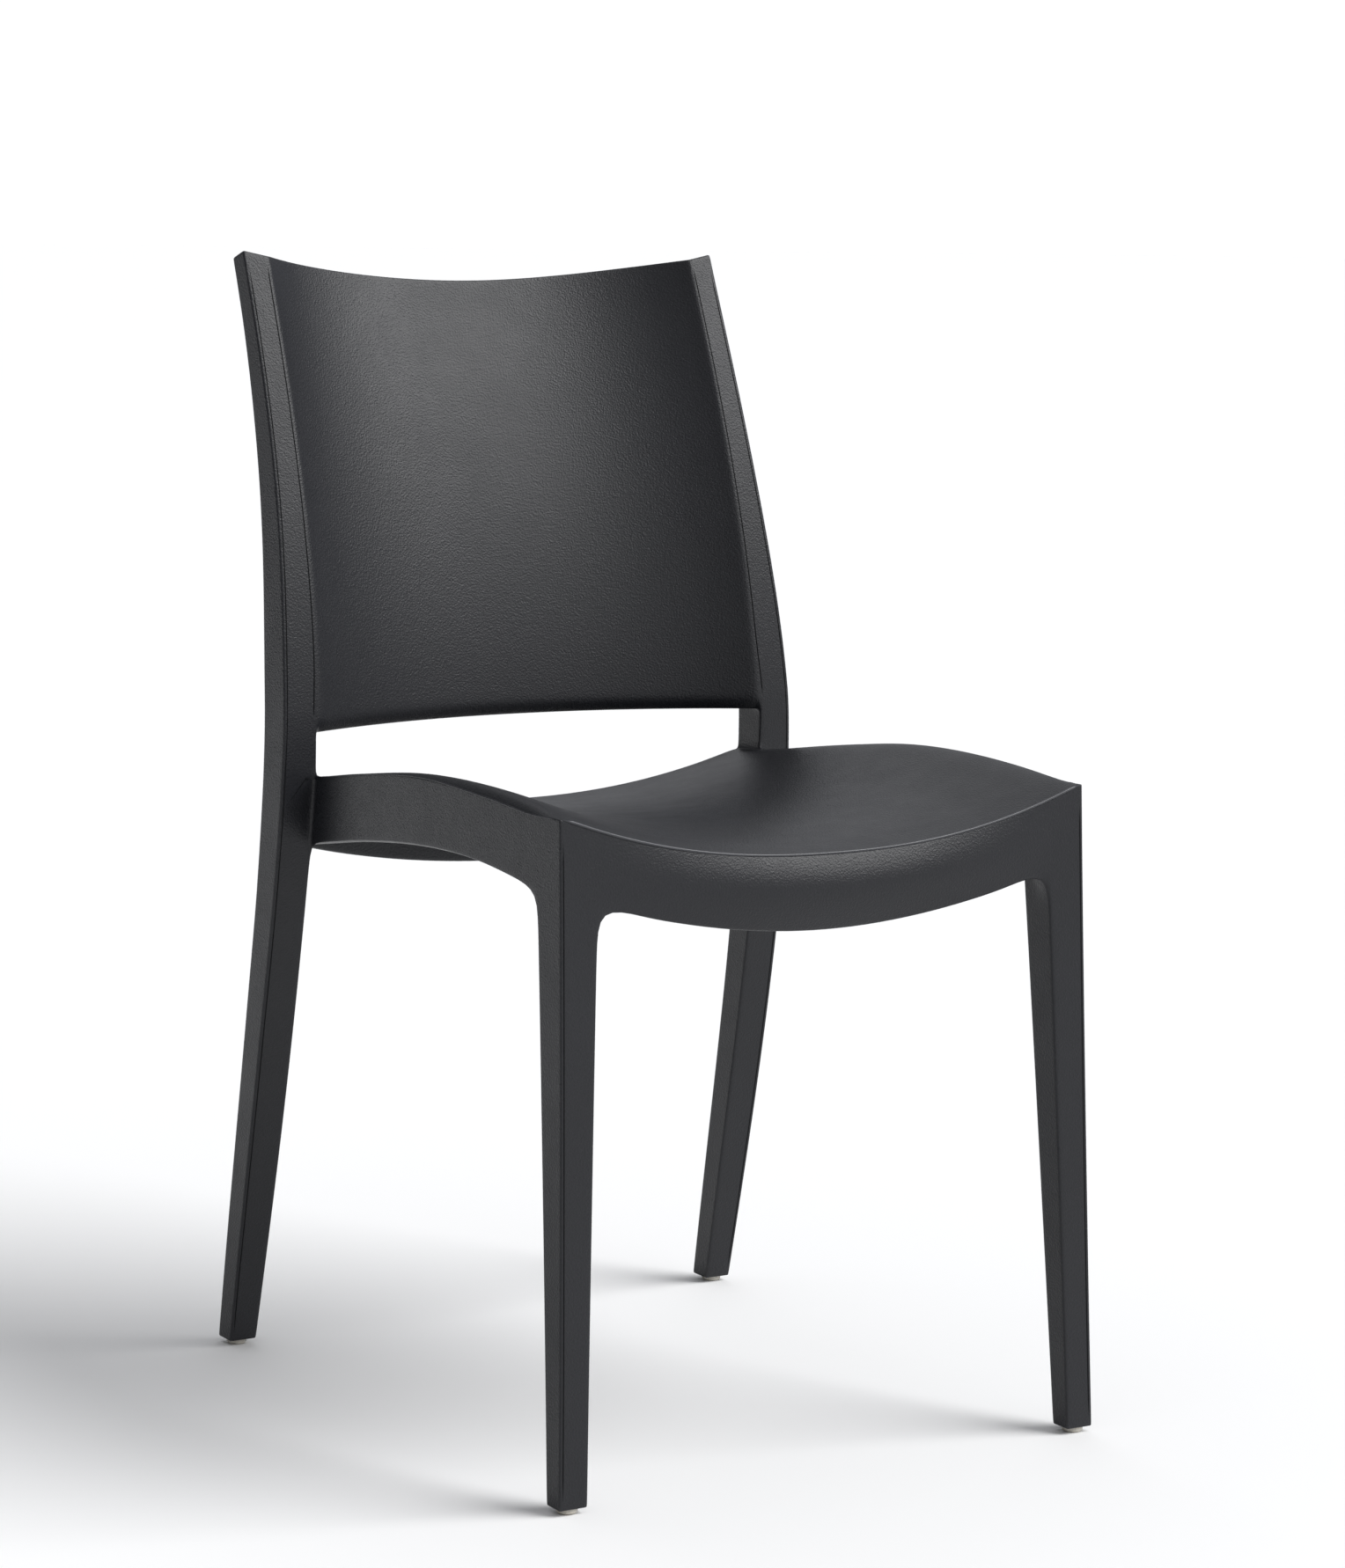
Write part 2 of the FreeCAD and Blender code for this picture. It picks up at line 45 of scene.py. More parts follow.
def along(points, at):
    """Smooth curve through (position, value) points, carried on straight past both ends."""
    if at <= points[0][0]:
        run = points[1][0] - points[0][0]
        return points[0][1] + (points[1][1] - points[0][1]) * (at - points[0][0]) / run
    if at >= points[-1][0]:
        run = points[-1][0] - points[-2][0]
        return points[-1][1] + (points[-1][1] - points[-2][1]) * (at - points[-1][0]) / run
    n = len(points)
    lean = []
    for i in range(n):
        a, b = points[max(i - 1, 0)], points[min(i + 1, n - 1)]
        lean.append((b[1] - a[1]) / (b[0] - a[0]))
    for i in range(n - 1):
        if at <= points[i + 1][0]:
            w = points[i + 1][0] - points[i][0]
            t = (at - points[i][0]) / w
            return ((2 * t**3 - 3 * t**2 + 1) * points[i][1] + (t**3 - 2 * t**2 + t) * w * lean[i]
                    + (3 * t**2 - 2 * t**3) * points[i + 1][1] + (t**3 - t**2) * w * lean[i + 1])
    return points[-1][1]


def mix(a, b, t):
    return a + (b - a) * t


HEIGHT = 809.0
SEAT_RIM = 457.5            # seat height at the front corners
SEAT_DIP = 34.5             # how much lower the middle of the front edge is
REAR_DIP = 30.5             # the same at the rear edge
SWELL = 12.4                # the seat's swell just inside its sides, 65 mm behind the front edge
SEAT_FRONT = -215.0
SEAT_REAR = 193.0
OUT = 222.0                 # half width over the rear legs
SLOT_TOP = 474.0
SLOT_HALF = 190.5
BACK_DIP = 22.5             # how much lower the middle of the top edge is
BACK_HOLLOW = (41.0, 50.0)  # dish of the back between the stiles, at the slot and at the top
TOP_SLOPE = 0.36            # fall of the top edge towards the rear
PANEL = 5.95
LIP = 11.0                  # the panel is this thick along its lower edge
REAR_BULGE = 17.0           # how far the rear apron swings out in its middle
FRONT_PLANE = (-245.5, 0.065)   # place and rake of the front legs' front faces
BEHIND_PLANE = (-228.0, 0.098)  # the same for their rear faces
APRON_HALF = 197.0          # the apron's nose fades out here
LEG_FRONT = [(0, 231.7), (50, 222.2), (100, 211.7), (150, 201.9), (200, 192.4), (250, 183.6),
             (300, 175.6), (350, 168.8), (400, 164.2), (435, 162.6), (470, 162.6), (500, 166.0),
             (540, 173.1), (580, 182.4), (620, 193.6), (660, 206.7), (700, 221.3), (740, 237.2),
             (780, 254.2), (809, 266.5), (850, 284.5)]
LEG_REAR = [(0, 251.5), (50, 243.3), (100, 234.2), (150, 225.4), (200, 217.0), (250, 209.4),
            (300, 202.6), (350, 197.0), (400, 193.8), (440, 192.9), (480, 195.2), (520, 201.2),
            (560, 208.2), (600, 216.4), (640, 226.6), (680, 238.4), (720, 251.4), (760, 265.8),
            (800, 282.0), (809, 285.6), (850, 304.0)]
LEG_OUTER = [(0, OUT - 1.7), (50, OUT - 0.9), (100, OUT - 0.3), (150, OUT), (250, OUT),
             (300, OUT - 0.7), (350, OUT - 1.6), (400, OUT - 2.7), (435, OUT - 3.7),
             (470, OUT - 5), (500, OUT - 6.4), (540, OUT - 8.8), (580, OUT - 11.7),
             (620, OUT - 14.3), (660, OUT - 16.5), (700, OUT - 18.1), (740, OUT - 19.4),
             (780, OUT - 20.2), (809, OUT - 20.6), (850, OUT - 20.8)]
LEG_INNER = [(0, 198.8), (50, 197.7), (100, 196.7), (150, 195.9), (200, 195.2), (250, 194.7),
             (300, 194.2), (350, 193.3), (400, 191.7), (435, 190.5), (474, 190.5), (520, 187.6),
             (600, 185.4), (700, 183.2), (809, 181.2), (850, 180.4)]


def rim(y):
    """Edge of the seat along its side."""
    return SEAT_RIM + along([(-215, 0.8), (-190, -0.3), (-173, -0.5), (-150, 0.7), (-126, 2.0),
                             (-90, 3.1), (-52, 4.1), (-28, 3.7), (0, 1.7), (30, -1.7), (60, -5.9),
                             (90, -10.5), (120, -15.5), (140, -18.8), (165, -22.2), (200, -25.0)], y)


def swell(y):
    """How far the seat would stand above its side edge if it did not roll over."""
    return max(0.0, SWELL * along([(-215, 0.12), (-190, 0.62), (-173, 0.9), (-150, 1), (-126, 1.02),
                                   (-90, 0.94), (-52, 0.78), (0, 0.58), (30, 0.43), (60, 0.36),
                                   (120, 0.28), (165, 0.14), (200, 0.08)], y))


def middle(y):
    """Height of the seat along its centre line."""
    front = SEAT_RIM - SEAT_DIP
    rear = rim(SEAT_REAR) - REAR_DIP
    return along([(-222, front), (-190, front + 4), (-140, front + 5.5), (-80, front + 3),
                  (0, front - 4), (100, 0.4 * front + 0.6 * rear - 1), (193, rear)], y)


def half_seat(y):
    """Half width of the seat."""
    return along([(-230, 211.6), (-150, 211.1), (-60, 209.8), (0, 208.3), (60, 204.6), (110, 199.1),
                  (140, 194.6), (165, 189.5), (230, 189.5)], y)


def half_width(y, z):
    """Outer face of rails and front legs; the legs spread a little towards the floor."""
    return half_seat(y) + along([(0, 6.9), (100, 4.8), (200, 3.1), (300, 1.6), (400, 0.4),
                                 (460, 0), (520, 0)], z)


def seat_top(x, y):
    """Dished seat that swells just inside its sides and rolls over to their edges."""
    t = abs(x) / half_seat(y)
    over = max(0.0, (t - 0.94) / 0.06)
    return (middle(y) + (rim(y) + swell(y) - middle(y)) * t ** 2.3
            - swell(y) * (over ** 2 if over < 1 else 2 * over - 1))


def skirt_low(x, y):
    """Lower edge of aprons and rails."""
    low = middle(y) + along([(-222, -53), (-190, -56), (0, -52), (200, -46)], y)
    high = rim(y) - 46 + along([(-222, -2.4), (-200, -3.5), (-180, -3.3), (-163, -0.6), (-142, 0.7),
                                (-110, 2.2), (-60, 1), (-28, -0.1), (8, -0.5), (110, -0.7),
                                (162, -2.8), (200, -7.5)], y)
    return low + (high - low) * (abs(x) / half_seat(y)) ** 1.9


def front_face(x, z):
    """Front of legs and apron: the legs rake, the apron noses forward and tucks under."""
    inward = max(0.0, 1 - (x / APRON_HALF) ** 2) ** 1.5
    drop = max(0.0, seat_top(x, SEAT_FRONT) - z)
    nose = along([(0, -1.5), (6, -4.6), (12, -7.4), (18, -9.3), (26, -9.8), (38, -6), (52, 4.5),
                  (80, 22)], min(drop, 80.0))
    return FRONT_PLANE[0] + FRONT_PLANE[1] * z + inward * nose


def back_face(x, z):
    """Front of the dished back between the stiles."""
    up = (z - SLOT_TOP) / (HEIGHT - SLOT_TOP)
    t = min(abs(x) / (187.0 - 6.0 * up), 1.0)
    return along(LEG_FRONT, z) + mix(*BACK_HOLLOW, up) * (1 - t ** mix(2.1, 3.2, up))


def back_top(x):
    """Top edge of the back."""
    return HEIGHT - BACK_DIP * (1 - min(abs(x) / 200.0, 1.1) ** 1.9)


def front_leg_width(z):
    """Width of a front leg, seen from the front."""
    return along([(0, 21.7), (100, 22.8), (200, 24.7), (300, 26.8), (400, 29.5), (480, 32.3)], z)


LAYERS_BACK = [447, 460, 466.9, 474, 480, 484]
FRACTIONS = [0.0, 0.08, 0.2, 0.33, 0.46, 0.59, 0.71, 0.82, 0.91, 0.985, 1.0]


def cage_point(i, j, k):
    """Place of cage line i (across), j (front to rear), k (upwards)."""
    side, i = (-1 if i < 0 else 1), abs(i)
    z = [4, 6.5, 90, 180, 265, 330][k] if k <= 5 else (385 if k < 8 else 430)
    x, y = 20.0 * i, -215.0
    for _ in range(4):
        # across
        half = half_width(y, z) if j < 12 else along(LEG_INNER, z)
        leg = front_leg_width(min(z, 440)) / half
        fore = [0, 0.2, 0.41, 0.6, 1 - leg - 0.17, 1 - leg, 1 - leg + 3.0 / half]
        rear = [0, 0.2, 0.4, 0.6, 0.77, 0.87, 0.94]
        share = min(max((j - 4) / 7.0, 0.0), 1.0)
        if i <= 6:
            x = half * mix(fore[i], rear[i], share)
        elif i <= 9:
            x = half - [7.0, 2.4, 0.0][i - 7]
        else:
            inner, outer = along(LEG_INNER, z), along(LEG_OUTER, z)
            x = [inner + 3.0, outer - 2.4, outer][i - 10]
        # front to rear
        if j <= 4:
            front = front_face(x if i < 9 else APRON_HALF, z)
            back = BEHIND_PLANE[0] + BEHIND_PLANE[1] * min(z, 410)
            y = [front, front + 2.2, front + 8.0, back - 2.8, back][j]
        elif j <= 11:
            y = [-157, -108, -59, -10, 39, 88, 138][j - 5]
            if j == 5:
                y = BEHIND_PLANE[0] + BEHIND_PLANE[1] * 400 + 32
        elif k >= 16 and i <= 8:
            thick = LIP if k <= 18 else PANEL
            lean = 4.2 if k == 16 else 0
            y = back_face(x, z) + [lean, lean + 1.5, thick][min(j, 14) - 12]
        else:
            f, r = along(LEG_FRONT, z), along(LEG_REAR, z)
            y = [f, f + 2.2, f + 6.0, r - 2.4, r][j - 12]
            if i <= 8:
                bulge = REAR_BULGE * (1 - (x / 189.5) ** 2)
                y = [f + 0.3 * bulge, f + 3 + 0.4 * bulge, f + 10 + 0.5 * bulge,
                     SEAT_REAR - 7 + bulge, SEAT_REAR + bulge][j - 12]
        # upwards
        sx = min(x, half_seat(y) if j < 12 else SLOT_HALF)
        sy = min(max(y, SEAT_FRONT - 3.0), SEAT_REAR + 2.0)
        if k == 6:
            z = skirt_low(sx, sy) - 33
        elif k in (7, 8):
            z = skirt_low(sx, sy) + 2.6 * (k - 7)
        elif 9 <= k <= 13:
            z = seat_top(sx, sy) - [31.0, 17.0, 5.5, 1.6, 0.0][k - 9]
        elif 14 <= k <= 19:
            z = LAYERS_BACK[k - 14]
        elif k > 19:
            top = back_top(x) - TOP_SLOPE * (y - back_face(x, back_top(x)))
            z = mix(484.0, top, FRACTIONS[k - 19])
    return Vector((side * x, y + SHIFT, z)) * 0.001


def cells():
    """Every block of the cage that is plastic."""
    full = set()

    def fill(i0, i1, j0, j1, k0, k1):
        for i in range(i0, i1):
            for j in range(j0, j1):
                for k in range(k0, k1):
                    full.add((i, j, k))
                    full.add((-i - 1, j, k))
    fill(5, 9, 0, 4, 0, 13)         # front legs
    fill(0, 9, 0, 2, 7, 13)         # front apron
    fill(0, 9, 0, 16, 11, 13)       # seat pan
    fill(7, 9, 0, 16, 7, 13)        # side rails
    fill(0, 9, 15, 16, 7, 13)       # rear apron
    fill(9, 12, 12, 16, 0, 29)      # rear legs and stiles
    fill(0, 9, 12, 14, 16, 29)      # back panel and its lip
    return full


def build_moulding():
    """The cage's outer faces as one closed skin, with a smoothing on it."""
    full = cells()
    bm = bmesh.new()
    made = {}

    def corner(i, j, k):
        if (i, j, k) not in made:
            made[(i, j, k)] = bm.verts.new(cage_point(i, j, k))
        return made[(i, j, k)]
    sides = {(-1, 0, 0): [(0, 0, 0), (0, 0, 1), (0, 1, 1), (0, 1, 0)],
             (1, 0, 0): [(1, 0, 0), (1, 1, 0), (1, 1, 1), (1, 0, 1)],
             (0, -1, 0): [(0, 0, 0), (1, 0, 0), (1, 0, 1), (0, 0, 1)],
             (0, 1, 0): [(0, 1, 0), (0, 1, 1), (1, 1, 1), (1, 1, 0)],
             (0, 0, -1): [(0, 0, 0), (0, 1, 0), (1, 1, 0), (1, 0, 0)],
             (0, 0, 1): [(0, 0, 1), (1, 0, 1), (1, 1, 1), (0, 1, 1)]}
    for c in sorted(full):
        for step, quad in sides.items():
            if (c[0] + step[0], c[1] + step[1], c[2] + step[2]) not in full:
                bm.faces.new([corner(c[0] + q[0], c[1] + q[1], c[2] + q[2]) for q in quad])
    mesh = bpy.data.meshes.new("moulding")
    bm.to_mesh(mesh)
    bm.free()
    for p in mesh.polygons:
        p.use_smooth = True
    obj = bpy.data.objects.new("moulding", mesh)
    bpy.context.scene.collection.objects.link(obj)
    smooth = obj.modifiers.new("smooth", "SUBSURF")
    smooth.levels = smooth.render_levels = 2
    smooth.boundary_smooth = "ALL"
    return obj


def thread(points, radius):
    """Thin raised line the mould leaves, as a six-sided tube through points in millimetres."""
    bm = bmesh.new()
    rings = []
    for n, p in enumerate(points):
        p = Vector(p)
        ahead = Vector(points[min(n + 1, len(points) - 1)]) - Vector(points[max(n - 1, 0)])
        ahead.normalize()
        a = ahead.cross(Vector((0.31, 0.17, 0.93))).normalized()
        b = ahead.cross(a)
        r = radius * (0.15 if n in (0, len(points) - 1) else 1.0)
        rings.append([bm.verts.new((p + Vector((0, SHIFT, 0)) + a * r * math.cos(h * math.pi / 3)
                                    + b * r * math.sin(h * math.pi / 3)) * 0.001) for h in range(6)])
    for lower, upper in zip(rings, rings[1:]):
        for h in range(6):
            bm.faces.new([lower[h], lower[(h + 1) % 6], upper[(h + 1) % 6], upper[h]])
    bm.faces.new(reversed(rings[0]))
    bm.faces.new(rings[-1])
    for f in bm.faces:
        f.smooth = True
    return bm


def steps(low, high, count):
    """Evenly spaced values from low to high."""
    return [low + (high - low) * n / (count - 1.0) for n in range(count)]


# Slot 1 is coloured far darker than the plastic: painted shade of fine grooves and of the dark rounded
# leg edges. Slot 2 is coloured paler: a painted highlight along the seat's front ridge.
PLAIN, JOINT_SHADE, RIDGE_HIGHLIGHT = 0, 1, 2   # the moulding's material slots


def parting_lines():
    """Where mould halves and inserts meet: a hair-fine ridge round the seat's edge, coloured paler along
    the front as a painted highlight, and fine lines down the front of legs and stiles and round the
    insert beside each end of the slot, coloured near-black as painted shade of fine grooves and steps and
    of the dark rounded edges beside them.
    Each line has its points, its radius and its material slot."""
    lines = []
    front = []
    for x in steps(-209.6, 209.6, 57):
        z = seat_top(x, SEAT_FRONT) - 0.5
        front.append((x, front_face(min(abs(x), APRON_HALF), z) + 0.1, z + 0.3))
    # The front ridge takes the paler slot: its colour is a painted highlight along the edge.
    lines.append((front, 1.1, RIDGE_HIGHLIGHT))
    for side in (-1, 1):
        rail = [(side * (half_seat(y) - 0.5), y, rim(y) - 0.5) for y in steps(-212.0, 158.0, 45)]
        lines.append((rail, 0.8, PLAIN))
        # The lines below in slot 1 are coloured near-black as painted shade of a fine groove or step and
        # of the rounded edge beside it, not a darker plastic.
        shade_points = []
        for z in steps(8.0, 446.0, 30):
            shade_points.append((side * (half_width(SEAT_FRONT, z) - 2.6), front_face(APRON_HALF, z) + 0.28, z))
        lines.append((shade_points, 0.48, JOINT_SHADE))
        for z0, edge, inset in ((8.0, LEG_OUTER, -2.7), (478.0, LEG_INNER, 2.4)):
            shade_points = []
            for z in steps(z0, 798.0, 50):
                shade_points.append((side * (along(edge, z) + inset), along(LEG_FRONT, z) + 0.28, z))
            lines.append((shade_points, 0.48, JOINT_SHADE))
        insert = [(190.4, 434.5), (198.8, 434.5), (202.0, 430.5), (216.6, 411.0)]
        shade_points = [(side * x, along(LEG_FRONT, z) + 0.25, z) for x, z in insert]
        lines.append((shade_points, 0.48, JOINT_SHADE))
    return lines


def laid_on(skin, points):
    """The same line moved onto the moulding's face, met square-on from that side's front quarter."""
    found = []
    for p in points:
        toward = Vector((0.5 if p[0] > 0 else -0.5, -0.866, 0.0))
        start = Vector((p[0], p[1] + SHIFT, p[2])) + toward * 40.0
        hit = skin.ray_cast(start * 0.001, -toward)[0]
        if hit is not None:
            q = hit * 1000.0 - toward * 0.12
            found.append((q.x, q.y - SHIFT, q.z))
    return found


def under_ribs():
    """Two stiffening ribs under the pan, drawn as thin tapering walls."""
    bm = bmesh.new()
    for x in (-75.0, 75.0):
        rows = []
        for y in steps(-200.0, 194.0, 30):
            top = seat_top(x, y) - 4.6
            low = seat_top(x, y) - 16.9
            rows.append([bm.verts.new(Vector((px, y + SHIFT, pz)) * 0.001) for px, pz in
                         ((x - 1.7, top), (x - 1.3, low + 0.5), (x - 0.8, low), (x + 0.8, low),
                          (x + 1.3, low + 0.5), (x + 1.7, top))])
        for a, b in zip(rows, rows[1:]):
            for n in range(6):
                bm.faces.new([a[n], a[(n + 1) % 6], b[(n + 1) % 6], b[n]])
        bm.faces.new(reversed(rows[0]))
        bm.faces.new(rows[-1])
    bmesh.ops.recalc_face_normals(bm, faces=bm.faces)
    return bm


def add_to(target, piece):
    """Puts a small mesh into the big one and throws the small one away."""
    spare = bpy.data.meshes.new("spare")
    piece.to_mesh(spare)
    target.from_mesh(spare)
    piece.free()
    bpy.data.meshes.remove(spare)


moulding = build_moulding()
bpy.context.view_layer.update()
dense = bpy.data.meshes.new_from_object(moulding.evaluated_get(bpy.context.evaluated_depsgraph_get()))
moulding.modifiers.clear()
whole = bmesh.new()
whole.from_mesh(dense)
skin = BVHTree.FromBMesh(whole)
for points, radius, slot in parting_lines():
    extra = thread(laid_on(skin, points) if slot == JOINT_SHADE else points, radius)
    for f in extra.faces:
        f.material_index = slot
    bmesh.ops.recalc_face_normals(extra, faces=extra.faces)
    add_to(whole, extra)
add_to(whole, under_ribs())
whole.to_mesh(moulding.data)
whole.free()
bpy.data.meshes.remove(dense)
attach(moulding, "root")
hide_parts("chair_moulding")


def grain_group():
    """Mask and heights of a spark-eroded mould surface: pebble grain, flow marks, rubbed patches."""
    g = bpy.data.node_groups.new("mould_grain", "ShaderNodeTree")
    g.interface.new_socket("Grain Size", in_out="INPUT", socket_type="NodeSocketFloat")
    g.interface.new_socket("Height", in_out="OUTPUT", socket_type="NodeSocketFloat")
    g.interface.new_socket("Cloud", in_out="OUTPUT", socket_type="NodeSocketFloat")
    g.interface.new_socket("Rub", in_out="OUTPUT", socket_type="NodeSocketFloat")
    inp, out = g.nodes.new("NodeGroupInput"), g.nodes.new("NodeGroupOutput")
    coord = g.nodes.new("ShaderNodeTexCoord")
    cell = g.nodes.new("ShaderNodeTexVoronoi")
    cell.feature = "SMOOTH_F1"
    fine = g.nodes.new("ShaderNodeTexNoise")
    fine.inputs["Scale"].default_value = 850.0
    fine.inputs["Detail"].default_value = 3.0
    both = g.nodes.new("ShaderNodeMix")
    both.inputs["Factor"].default_value = 0.55
    cloud = g.nodes.new("ShaderNodeTexNoise")
    cloud.inputs["Scale"].default_value = 9.0
    cloud.inputs["Detail"].default_value = 4.0
    rub = g.nodes.new("ShaderNodeTexNoise")
    rub.inputs["Scale"].default_value = 38.0
    rub.inputs["Detail"].default_value = 6.0
    rub.inputs["Roughness"].default_value = 0.72
    for node in (cell, fine, cloud, rub):
        g.links.new(coord.outputs["Object"], node.inputs["Vector"])
    g.links.new(inp.outputs["Grain Size"], cell.inputs["Scale"])
    g.links.new(cell.outputs["Distance"], both.inputs[2])
    g.links.new(fine.outputs["Fac"], both.inputs[3])
    g.links.new(both.outputs[0], out.inputs["Height"])
    g.links.new(cloud.outputs["Fac"], out.inputs["Cloud"])
    g.links.new(rub.outputs["Fac"], out.inputs["Rub"])
    return g


GRAIN = grain_group()


def plastic_material(name, size, low, high, rough, bump_mm):
    """Moulded plastic. The colour runs between low and high with grain and cloud, corners are rubbed
    paler and glossier, rough is the span of the roughness and bump_mm the depth of the grain."""
    mat = bpy.data.materials.new(name)
    mat.use_nodes = True
    nt = mat.node_tree
    bsdf = nt.nodes["Principled BSDF"]
    grain = nt.nodes.new("ShaderNodeGroup")
    grain.node_tree = GRAIN
    grain.inputs["Grain Size"].default_value = size
    tone = nt.nodes.new("ShaderNodeValToRGB")
    tone.color_ramp.elements[0].position, tone.color_ramp.elements[1].position = 0.3, 0.7
    tone.color_ramp.elements[0].color = (*low, 1)
    tone.color_ramp.elements[1].color = (*high, 1)
    wear = nt.nodes.new("ShaderNodeNewGeometry")
    edge = nt.nodes.new("ShaderNodeMapRange")
    edge.inputs["From Min"].default_value, edge.inputs["From Max"].default_value = 0.52, 0.6
    edge.inputs["To Min"].default_value, edge.inputs["To Max"].default_value = 0.0, 1.0
    worn = nt.nodes.new("ShaderNodeMath")
    worn.operation = "MULTIPLY"
    gloss = nt.nodes.new("ShaderNodeMapRange")
    gloss.inputs["From Min"].default_value, gloss.inputs["From Max"].default_value = 0.3, 0.7
    gloss.inputs["To Min"].default_value, gloss.inputs["To Max"].default_value = rough
    rubbed = nt.nodes.new("ShaderNodeMath")
    rubbed.operation = "MULTIPLY_ADD"
    rubbed.inputs[1].default_value = -0.1
    light = nt.nodes.new("ShaderNodeMix")
    light.data_type = "RGBA"
    light.inputs["B"].default_value = (high[0] * 2.0, high[1] * 2.0, high[2] * 2.0, 1)
    bump = nt.nodes.new("ShaderNodeBump")
    bump.inputs["Strength"].default_value = 0.6
    bump.inputs["Distance"].default_value = bump_mm * 0.001
    mottle = nt.nodes.new("ShaderNodeMix")
    mottle.inputs["Factor"].default_value = 0.55
    nt.links.new(grain.outputs["Cloud"], mottle.inputs[2])
    nt.links.new(grain.outputs["Height"], mottle.inputs[3])
    nt.links.new(mottle.outputs[0], tone.inputs["Fac"])
    nt.links.new(wear.outputs["Pointiness"], edge.inputs["Value"])
    nt.links.new(edge.outputs["Result"], worn.inputs[0])
    nt.links.new(grain.outputs["Rub"], worn.inputs[1])
    nt.links.new(worn.outputs[0], light.inputs["Factor"])
    nt.links.new(tone.outputs["Color"], light.inputs["A"])
    nt.links.new(light.outputs["Result"], bsdf.inputs["Base Color"])
    nt.links.new(grain.outputs["Rub"], gloss.inputs["Value"])
    nt.links.new(worn.outputs[0], rubbed.inputs[0])
    nt.links.new(gloss.outputs["Result"], rubbed.inputs[2])
    nt.links.new(rubbed.outputs[0], bsdf.inputs["Roughness"])
    nt.links.new(grain.outputs["Height"], bump.inputs["Height"])
    nt.links.new(bump.outputs["Normal"], bsdf.inputs["Normal"])
    return mat


plastic = plastic_material("black_polypropylene", 760.0, (0.0068, 0.0073, 0.0098),
                           (0.0102, 0.0108, 0.0142), (0.40, 0.46), 0.75)
plastic.node_tree.nodes["Principled BSDF"].inputs["Specular IOR Level"].default_value = 0.4
# Near-black colour for the leg, stile and insert lines: painted shade of fine grooves, steps and rounded
# edges, not a darker plastic.
joint_painted_shade = plastic_material("parting_joint_painted_shade", 900.0, (0.0015, 0.0016, 0.002),
                              (0.003, 0.0032, 0.004), (0.6, 0.7), 0.1)
joint_painted_shade.node_tree.nodes["Principled BSDF"].inputs["Specular IOR Level"].default_value = 0.15
# Paler, glossier colour for the ridge along the seat's front: a painted highlight, not a paler plastic.
ridge_painted_highlight = plastic_material("seat_edge_ridge_painted_highlight", 900.0, (0.020, 0.021, 0.025),
                              (0.030, 0.031, 0.036), (0.32, 0.40), 0.1)
for slot_material in (plastic, joint_painted_shade, ridge_painted_highlight):     # in the order PLAIN, JOINT_SHADE, RIDGE_HIGHLIGHT
    moulding.data.materials.append(slot_material)

# ==================================================================== foot glides
# Four small round glides of natural nylon, moulded in one piece with a stem.  Each stem is
# pushed into a blind bore in a leg end, so that only the pale head shows.
nylon = plastic_material("natural_nylon", 2600.0, (0.30, 0.28, 0.24), (0.42, 0.40, 0.36),
                         (0.34, 0.5), 0.03)
nylon.node_tree.nodes["Principled BSDF"].inputs["Subsurface Weight"].default_value = 0.15
nylon.node_tree.nodes["Principled BSDF"].inputs["Subsurface Radius"].default_value = (0.004, 0.003, 0.002)
for name in ("front_left_glide", "front_right_glide", "rear_left_glide", "rear_right_glide"):
    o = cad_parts[name]
    o.data.materials.clear()
    o.data.materials.append(nylon)

# ==================================================================== floor, light, camera
# A plain pale sheet, a dim room that is brighter behind the chair and towards +X, and soft suns.
# The camera stands in front of the chair towards -X, a little above the top of its back.
mesh = bpy.data.meshes.new("floor")
mesh.from_pydata([(-30, -30, 0), (30, -30, 0), (30, 30, 0), (-30, 30, 0)], [], [(0, 1, 2, 3)])
floor = bpy.data.objects.new("floor", mesh)
bpy.context.scene.collection.objects.link(floor)
pale = bpy.data.materials.new("pale_floor")
pale.use_nodes = True
pale.node_tree.nodes["Principled BSDF"].inputs["Base Color"].default_value = (0.93, 0.93, 0.93, 1)
pale.node_tree.nodes["Principled BSDF"].inputs["Roughness"].default_value = 0.9
mesh.materials.append(pale)

world = bpy.data.worlds.new("studio")
bpy.context.scene.world = world
world.use_nodes = True
wt = world.node_tree
wt.nodes.clear()
coord = wt.nodes.new("ShaderNodeTexCoord")
turn = wt.nodes.new("ShaderNodeVectorMath")
turn.operation = "DOT_PRODUCT"
turn.inputs[1].default_value = (0.74, 0.5, 0.45)
ramp = wt.nodes.new("ShaderNodeMapRange")
ramp.inputs["From Min"].default_value = -0.3
ramp.inputs["From Max"].default_value = 0.85
ramp.inputs["To Min"].default_value = 0.02
ramp.inputs["To Max"].default_value = 0.30
room = wt.nodes.new("ShaderNodeBackground")
backdrop = wt.nodes.new("ShaderNodeBackground")
backdrop.inputs["Strength"].default_value = 1.05
ray = wt.nodes.new("ShaderNodeLightPath")
choose = wt.nodes.new("ShaderNodeMixShader")
sky = wt.nodes.new("ShaderNodeOutputWorld")
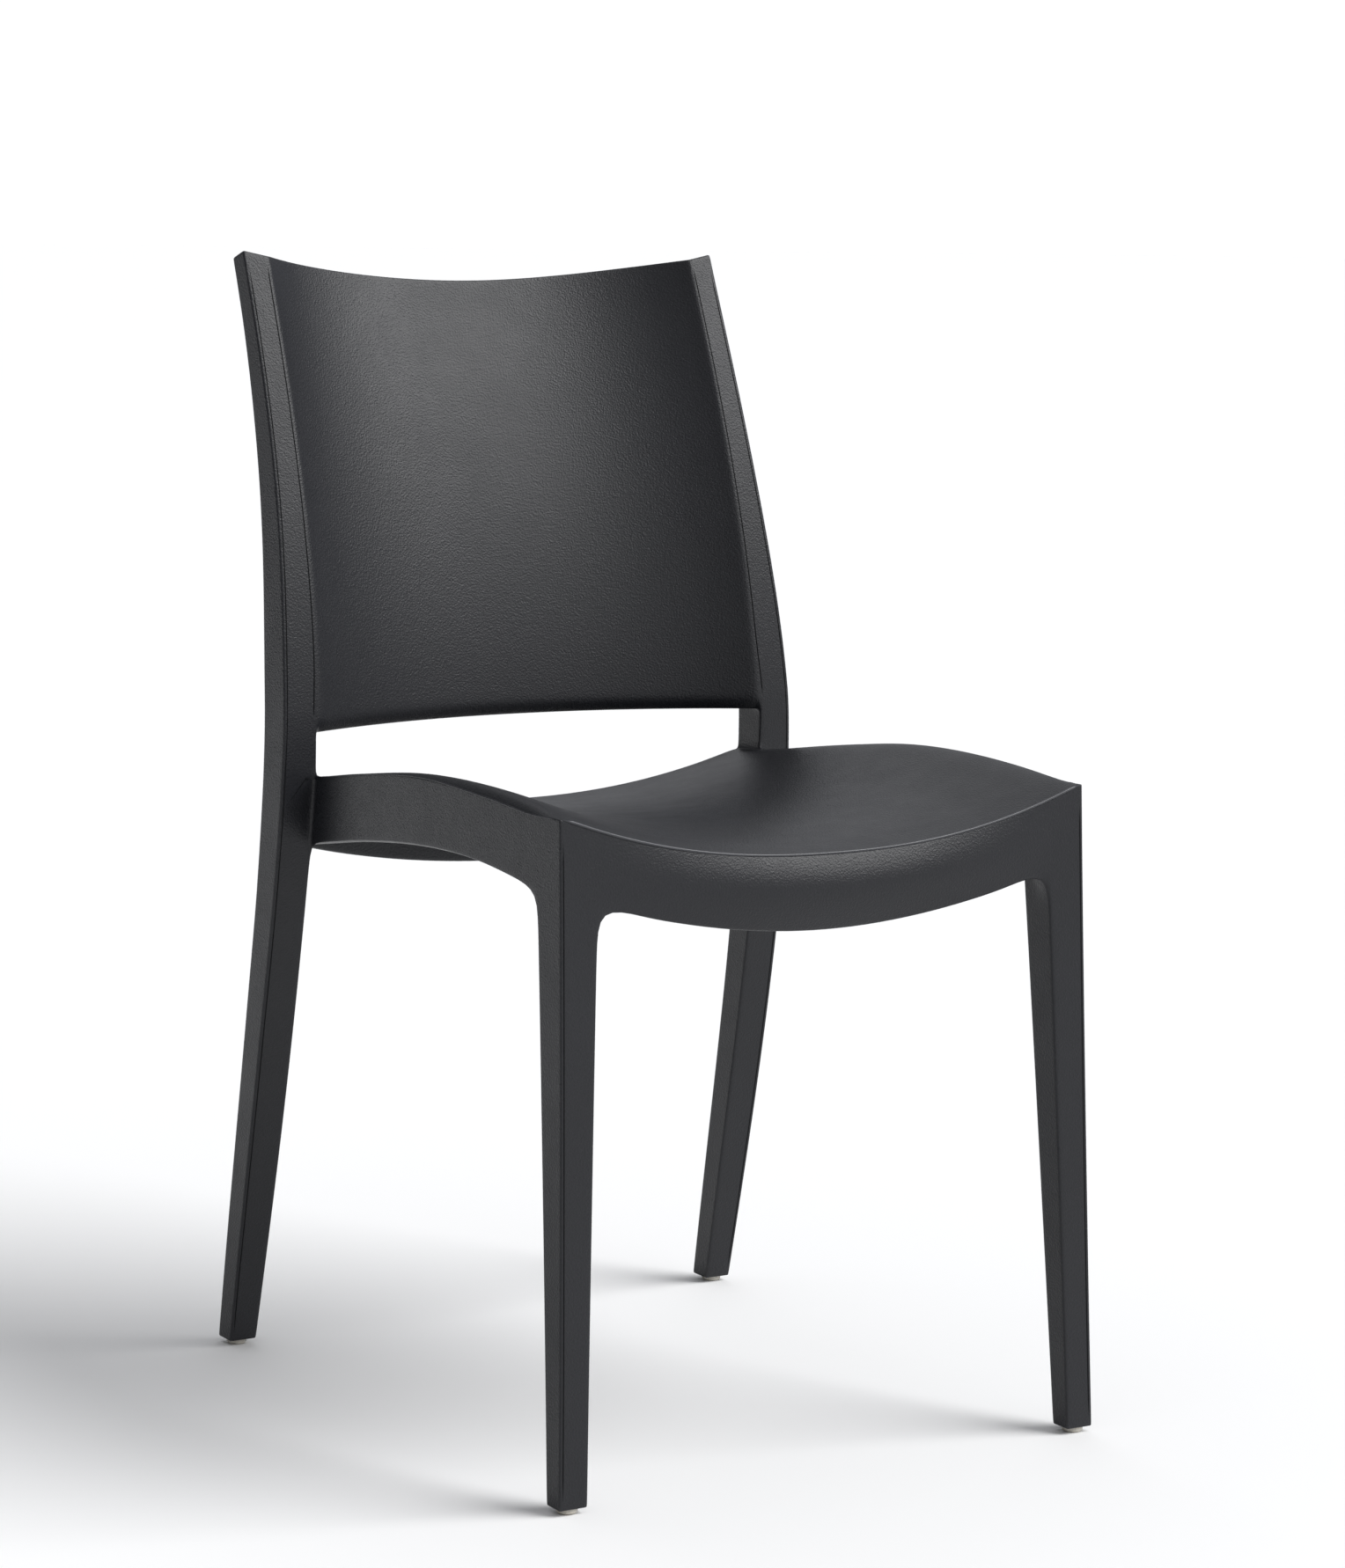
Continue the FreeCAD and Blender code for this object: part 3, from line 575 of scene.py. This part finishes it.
wt.links.new(coord.outputs["Generated"], turn.inputs[0])
wt.links.new(turn.outputs["Value"], ramp.inputs["Value"])
wt.links.new(ramp.outputs["Result"], room.inputs["Strength"])
wt.links.new(ray.outputs["Is Camera Ray"], choose.inputs["Fac"])
wt.links.new(room.outputs["Background"], choose.inputs[1])
wt.links.new(backdrop.outputs["Background"], choose.inputs[2])
wt.links.new(choose.outputs["Shader"], sky.inputs["Surface"])
room.inputs["Color"].default_value = (0.95, 0.98, 1.06, 1)
backdrop.inputs["Color"].default_value = (1, 1, 1, 1)
bpy.context.scene.view_settings.view_transform = "Standard"


def soft_sun(name, toward, spread, power):
    """A sun that stands in the direction toward, spread degrees wide."""
    light = bpy.data.lights.new(name, "SUN")
    light.angle = math.radians(spread)
    light.energy = power
    o = bpy.data.objects.new(name, light)
    bpy.context.scene.collection.objects.link(o)
    o.rotation_euler = (-Vector(toward)).to_track_quat("-Z", "Y").to_euler()


soft_sun("key", (0.75, -0.58, 0.95), 40, 2.75)
soft_sun("overhead", (-0.1, -0.2, 1.0), 120, 0.85)
soft_sun("rim", (0.4, 0.84, 0.62), 50, 0.2)
soft_sun("front", (0.35, -1.0, 0.15), 60, 0.5)

cam = bpy.data.cameras.new("camera")
cam.sensor_width = 36.0     # millimetres, as is the focal length
cam.lens = 103.55
camera = bpy.data.objects.new("camera", cam)
bpy.context.scene.collection.objects.link(camera)
bpy.context.scene.camera = camera
az, el, roll = math.radians(-32.288), math.radians(8.068), math.radians(1.397)
back = Vector((math.sin(az) * math.cos(el), -math.cos(az) * math.cos(el), math.sin(el)))
right = Vector((0, 0, 1)).cross(back).normalized()
up = back.cross(right)
r2 = math.cos(roll) * right + math.sin(roll) * up
u2 = -math.sin(roll) * right + math.cos(roll) * up
m = Matrix((r2, u2, back)).transposed().to_4x4()
aim = Vector((0.008148, -0.003259 + SHIFT / 1000, 0.441269))
distance = 3.214373
m.translation = aim + back * distance
camera.matrix_world = m
cam.clip_start, cam.clip_end = 0.1, 100
